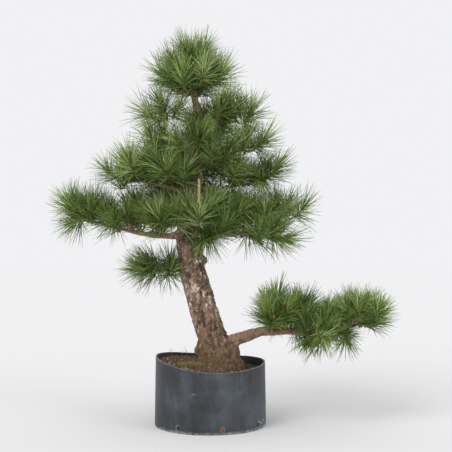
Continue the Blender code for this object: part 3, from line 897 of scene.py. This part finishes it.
def potMaterial(holes, foot):
    material, tree, shader = newMaterial("slatePlastic", 0.5)
    x, y, height = objectPlace(tree)
    around = calc(tree, "ARCTAN2", y, x)
    clouds = mottle(tree, 11.0, 5.0, 0.6, 0.85)
    streaks = mottle(tree, 60.0, 4.0, 0.55, 0.12)
    speckle = mottle(tree, 520.0, 3.0)

    def strokeMask(middle, length, level, rise, waves):
        # A thin mark along the wall, straight or zigzag
        aside = calc(tree, "SUBTRACT", calc(tree, "MULTIPLY", around, foot), math.radians(middle) * foot)
        zigzag = calc(tree, "PINGPONG", aside, length / waves)
        zigzag = calc(tree, "MULTIPLY", zigzag, rise * waves / length)
        off = calc(tree, "SUBTRACT", calc(tree, "SUBTRACT", height, level), zigzag)
        within = ranged(tree, calc(tree, "ABSOLUTE", aside), length * 0.55, length * 0.45)
        stroke = ranged(tree, calc(tree, "ABSOLUTE", off), *pot["strokeWidth"])
        return calc(tree, "MULTIPLY", stroke, within)

    def limeRing(angle, radius):
        fromHole = {0: calc(tree, "SUBTRACT", around, angle), 1: math.pi, 2: -math.pi}
        turned = addNode(tree, "ShaderNodeMath", fromHole, operation="WRAP").outputs[0]
        across = calc(tree, "MULTIPLY", turned, foot)
        over = calc(tree, "SUBTRACT", height, pot["holeHeight"])
        distance = calc(tree, "SQRT", blend(tree, (across, across), (over, over)))
        ring = ranged(tree, distance, *(radius + width for width in pot["ringWidth"]))
        return calc(tree, "MULTIPLY", ring, ranged(tree, streaks, 0.40, 0.55))

    crust = blend(tree, (mottle(tree, 120.0, 4.0, 0.7), 0.6), (clouds, 0.4))
    low = ranged(tree, height, pot["limeHeight"], pot["limeFull"])
    foam = calc(tree, "MULTIPLY", low, ranged(tree, crust, 0.40, 0.56))
    for angle, radius in holes:
        foam = calc(tree, "MAXIMUM", foam, calc(tree, "MULTIPLY", limeRing(angle, radius), 0.55))
    body = ramp(tree, blend(tree, (clouds, 0.82), (streaks, 0.18)), pot["plastic"])
    limed = mixColour(tree, calc(tree, "MULTIPLY", foam, 0.85), body, pot["lime"])
    scuff = calc(tree, "MULTIPLY", strokeMask(**pot["scuff"]), 0.4)
    marks = calc(tree, "MAXIMUM", strokeMask(**pot["scratch"]), scuff)
    scuffed = mixColour(tree, calc(tree, "MULTIPLY", marks, 0.65), limed, pot["scratched"])
    sawn = calc(tree, "MULTIPLY", surfaceValue(tree, "cut"), ranged(tree, streaks, 0.35, 0.60, 0.35, 1.0))
    tree.links.new(mixColour(tree, sawn, scuffed, pot["sawn"]), shader.inputs["Base Color"])
    rough = ranged(tree, clouds, 0.3, 0.7, 0.42, 0.60)
    rough = calc(tree, "ADD", rough, calc(tree, "MULTIPLY", speckle, 0.06))
    tree.links.new(rough, shader.inputs["Roughness"])
    bumpInto(tree, shader, calc(tree, "ADD", calc(tree, "MULTIPLY", speckle, 0.25), clouds), 0.0006, 0.5)
    return material


# A root has grown out through one of the holes at the front
rootEnd = {
    "heading": -78.0, "inside": 0.0028, "fill": 0.92,
    "skin": ((0.35, (0.070, 0.022, 0.012)), (0.55, (0.250, 0.085, 0.045)), (0.75, (0.430, 0.220, 0.140))),
}


def makeRootEnd(foot, holes):
    wanted = heading(rootEnd["heading"])
    angle, radius = max(holes, key=lambda hole: wanted.dot(pointing(hole[0])))
    place = pointing(angle) * (foot - rootEnd["inside"]) + up * pot["holeHeight"]
    bm = bmesh.new()
    bmesh.ops.create_icosphere(bm, subdivisions=4, radius=radius * rootEnd["fill"])
    for vertex in bm.verts:
        swell = noise.noise(vertex.co * 420.0) * 0.30 + noise.noise(vertex.co * 1300.0) * 0.10
        vertex.co = place + vertex.co * (1.0 + swell)
    mesh = meshFrom(bm, "rootEnd")
    mesh.shade_smooth()
    material, tree, shader = newMaterial("rootSkin", 0.8)
    grain = mottle(tree, 420.0, 5.0, 0.7)
    tree.links.new(ramp(tree, grain, rootEnd["skin"]), shader.inputs["Base Color"])
    bumpInto(tree, shader, grain, 0.001, 0.8)
    mesh.materials.append(material)
    setOut(newObject("rootEnd", mesh), "bark")


makeRootEnd(*makePotShell())


# Soil: a rough bed with loose grains, moss and fallen needles on it

soil = {
    "grain": 0.004, "relief": {"Roughness": 0.0030}, "steepest": 0.35, "showing": 0.045,
    "earth": (
        (0.35, (0.018, 0.010, 0.006)), (0.52, (0.062, 0.034, 0.020)), (0.72, (0.156, 0.092, 0.056)),
    ),
}


def facingUp(tree):
    normal = addNode(tree, "GeometryNodeInputNormal").outputs[0]
    return addNode(tree, "ShaderNodeSeparateXYZ", {0: normal}).outputs[2]


def soilGrower():
    tree, given = newGrower("soilBed", soil["relief"])
    place = addNode(tree, "GeometryNodeInputPosition").outputs[0]
    clods = addNode(tree, "ShaderNodeTexNoise", {"Vector": place, "Scale": 90.0, "Detail": 5.0}).outputs[0]
    lift = calc(tree, "MULTIPLY", calc(tree, "SUBTRACT", clods, 0.55), given["Roughness"])
    lift = calc(tree, "MULTIPLY", lift, ranged(tree, facingUp(tree), 0.3, 0.8))
    offset = addNode(tree, "ShaderNodeCombineXYZ", {2: lift}).outputs[0]
    moved = addNode(tree, "GeometryNodeSetPosition", {0: given["Geometry"], "Offset": offset}).outputs[0]
    return endGrower(tree, given, moved)


def soilMaterial():
    material, tree, shader = newMaterial("grittySoil", 0.95)
    clods = mottle(tree, 160.0, 6.0, 0.7)
    tone = blend(tree, (clods, 0.7), (mottle(tree, 30.0, 3.0), 0.3))
    tree.links.new(ramp(tree, tone, soil["earth"]), shader.inputs["Base Color"])
    bumpInto(tree, shader, clods, 0.002, 1.0)
    return material


def makeSoil():
    mesh = voxelCopy("soil", soil["grain"])
    bed = grow("soilBed", mesh, soilGrower(), soilMaterial(), **soil["relief"])
    return setOut(bed, "soil", "soil").data


def topOf(mesh, margin=0.0):
    # The upper faces alone, as a mesh to scatter on
    bm = bmesh.new()
    bm.from_mesh(mesh)
    lo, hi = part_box("soil")
    reach = (hi.x - lo.x) / 2 - margin

    def hidden(face):
        middle = face.calc_center_median()
        deep = middle.z < hi.z - soil["showing"]
        return face.normal.z < soil["steepest"] or deep or middle.xy.length > reach

    bmesh.ops.delete(bm, geom=[face for face in bm.faces if hidden(face)], context="FACES")
    return meshFrom(bm, "soilTop")


# Loose grains, most of them small
grains = {
    "sizes": {"Density": 62000.0, "Smallest": 0.0009, "Largest": 0.0034, "Facing": 0.5, "Seed": 5},
    "shape": (1.0, 0.72, 0.55), "tilt": 0.6,
    "tints": (
        (0.00, (0.034, 0.018, 0.012)), (0.45, (0.105, 0.056, 0.035)), (0.78, (0.220, 0.125, 0.080)),
        (0.92, (0.400, 0.270, 0.200)), (1.00, (0.480, 0.400, 0.290)),
    ),
    "root": (0.1, 0.05, 0.03), "rootEnds": 0.01, "roughness": 0.9,
}


def scatteredOn(tree, given):
    above = calc(tree, "GREATER_THAN", facingUp(tree), given["Facing"])
    return addNode(tree, "GeometryNodeDistributePointsOnFaces", {
        "Mesh": given["Geometry"], "Selection": above, "Density": given["Density"], "Seed": given["Seed"],
    }).outputs


def grainGrower():
    tree, given = newGrower("grains", grains["sizes"])
    ball = addNode(tree, "GeometryNodeMeshIcoSphere", {"Radius": 1.0, "Subdivisions": 1}).outputs[0]
    squashed = addNode(tree, "GeometryNodeTransform", {0: ball, "Scale": grains["shape"]}).outputs[0]
    grade = calc(tree, "POWER", randomIn(tree, 0.0, 1.0, 11), 3.0)
    tilt = grains["tilt"]
    turn = addNode(tree, "ShaderNodeCombineXYZ", {
        0: randomIn(tree, -tilt, tilt, 12), 1: randomIn(tree, -tilt, tilt, 13),
        2: randomIn(tree, 0.0, 6.28, 14),
    }).outputs[0]
    placed = addNode(tree, "GeometryNodeInstanceOnPoints", {
        "Points": scatteredOn(tree, given)["Points"], "Instance": marked(tree, squashed, "POINT", along=0.5),
        "Rotation": addNode(tree, "FunctionNodeEulerToRotation", {0: turn}).outputs[0],
        "Scale": ranged(tree, grade, 0.0, 1.0, given["Smallest"], given["Largest"]),
    }).outputs[0]
    laid = laidOut(tree, marked(tree, placed, tint=randomIn(tree, 0.0, 1.0, 15)), 0.0)
    return endGrower(tree, given, laid, smooth=False)


# Moss and fallen needles: short strands on whatever faces up enough
dryMoss = {
    "strands": {
        "Density": 900000.0, "Length": 0.007, "Width": 0.0006, "Facing": 0.05, "Tilt": 1.2,
        "Bend": 0.4, "Sag": 0.0, "Seed": 3,
    },
    "tints": ((0.00, (0.110, 0.075, 0.026)), (0.50, (0.270, 0.200, 0.080)), (1.00, (0.480, 0.400, 0.190))),
    "root": (0.070, 0.040, 0.020), "rootEnds": 0.4, "roughness": 0.9,
}
footMoss = {
    "strands": {
        "Density": 26000.0, "Length": 0.0045, "Width": 0.0007, "Facing": 0.5, "Tilt": 0.9,
        "Bend": 0.3, "Sag": 0.0, "Seed": 8,
    },
    "tints": ((0.00, (0.030, 0.034, 0.010)), (0.60, (0.095, 0.098, 0.026)), (1.00, (0.220, 0.200, 0.070))),
    "root": (0.030, 0.020, 0.010), "rootEnds": 0.4, "roughness": 0.9, "margin": 0.006,
}
litter = {
    "strands": {
        "Density": 2400.0, "Length": 0.028, "Width": 0.0012, "Facing": 0.5, "Tilt": 1.75,
        "Bend": 0.1, "Sag": 0.0, "Seed": 13,
    },
    "tints": ((0.00, (0.120, 0.055, 0.022)), (0.60, (0.260, 0.130, 0.055)), (1.00, (0.400, 0.260, 0.120))),
    "root": (0.050, 0.025, 0.012), "rootEnds": 0.1, "roughness": 0.7, "margin": 0.030,
}


def furGrower():
    tree, given = newGrower("fur", dryMoss["strands"])
    rooted = scatteredOn(tree, given)
    lean = calc(tree, "MULTIPLY", randomIn(tree, 0.1, 1.0, 22), given["Tilt"])
    turned = leanedOut(tree, rooted["Rotation"], randomIn(tree, 0.0, 6.28, 21), lean)
    strands = addNode(tree, "GeometryNodeInstanceOnPoints", {
        "Points": rooted["Points"], "Instance": bladeOf(tree, given),
        "Rotation": turned, "Scale": randomIn(tree, 0.5, 1.1, 23),
    }).outputs[0]
    coloured = marked(tree, strands, tint=randomIn(tree, 0.0, 1.0, 24))
    return endGrower(tree, given, laidOut(tree, coloured, given["Sag"]))


def makeCover(bed):
    loose = strandMaterial("soilGrain", grains)
    setOut(grow("soilGrains", topOf(bed), grainGrower(), loose, **grains["sizes"]), "soil")
    fur = furGrower()
    straw = strandMaterial("dryMoss", dryMoss)
    patch = grow("dryMossTuft", mergedCopy("dry_moss"), fur, straw, **dryMoss["strands"])
    setOut(patch, "dry_moss", "dry_moss")
    green = strandMaterial("footMoss", footMoss)
    sward = grow("soilMoss", topOf(bed, footMoss["margin"]), fur, green, **footMoss["strands"])
    setOut(sward, "dry_moss")
    brown = strandMaterial("fallenNeedle", litter)
    fallen = grow("fallenNeedles", topOf(bed, litter["margin"]), fur, brown, **litter["strands"])
    setOut(fallen, "needles")


makeCover(makeSoil())


# Sprigs: three seedlings, each a thin stalk with a few leaves

sprigs = {
    "leaves": {
        "Bundles": 6, "Length": 0.008, "Width": 0.0007, "Bend": 0.25, "Sag": 0.0,
        "Base spread": 0.9, "Tip spread": 0.2,
    },
    "sunk": 0.004,
    "tints": ((0.00, (0.110, 0.110, 0.040)), (1.00, (0.260, 0.270, 0.110))),
    "root": (0.210, 0.190, 0.080), "rootEnds": 0.2, "roughness": 0.5,
}


def uprightStem(name, foot, tip):
    places = (foot, foot.lerp(tip, 0.5), tip)
    return lineMesh(name, [[(place, 1.0, 0.5) for place in places]], ["vigour", "fresh"])


def makeSprigs(shootTree):
    green = strandMaterial("sprigLeaf", sprigs)
    for name, foot, tip in standing("sprig_"):
        stalk = uprightStem(name, foot - up * sprigs["sunk"], tip)
        leaves = grow("seedling" + name[-1], stalk, shootTree, green, Seed=int(name[-1]), **sprigs["leaves"])
        setOut(leaves, "sprig", name)


makeSprigs(needleShoots)


# Candles: pale new shoots, scaly and blunt

candles = {
    "scales": {
        "Length": 0.008, "Width": 0.0022, "Bend": -0.2, "Sag": 0.0, "Base spread": 0.42, "Tip spread": 0.10,
    },
    "scalesPerMetre": 2400, "blunt": 0.003, "seed": 30,
    "tints": ((0.00, (0.300, 0.240, 0.090)), (0.60, (0.430, 0.420, 0.150)), (1.00, (0.600, 0.580, 0.290))),
    "root": (0.240, 0.150, 0.070), "rootEnds": 0.25, "roughness": 0.6,
}


def makeCandles(shootTree):
    pale = strandMaterial("candleScale", candles)
    for name, foot, tip in standing("candle_"):
        tip = tip - up * candles["blunt"]
        shoot = grow(
            "newShoot" + name[-1], uprightStem(name, foot, tip), shootTree, pale,
            Bundles=round((tip - foot).length * candles["scalesPerMetre"]),
            Seed=candles["seed"] + int(name[-1]), **candles["scales"],
        )
        setOut(shoot, "candle", name)


makeCandles(needleShoots)
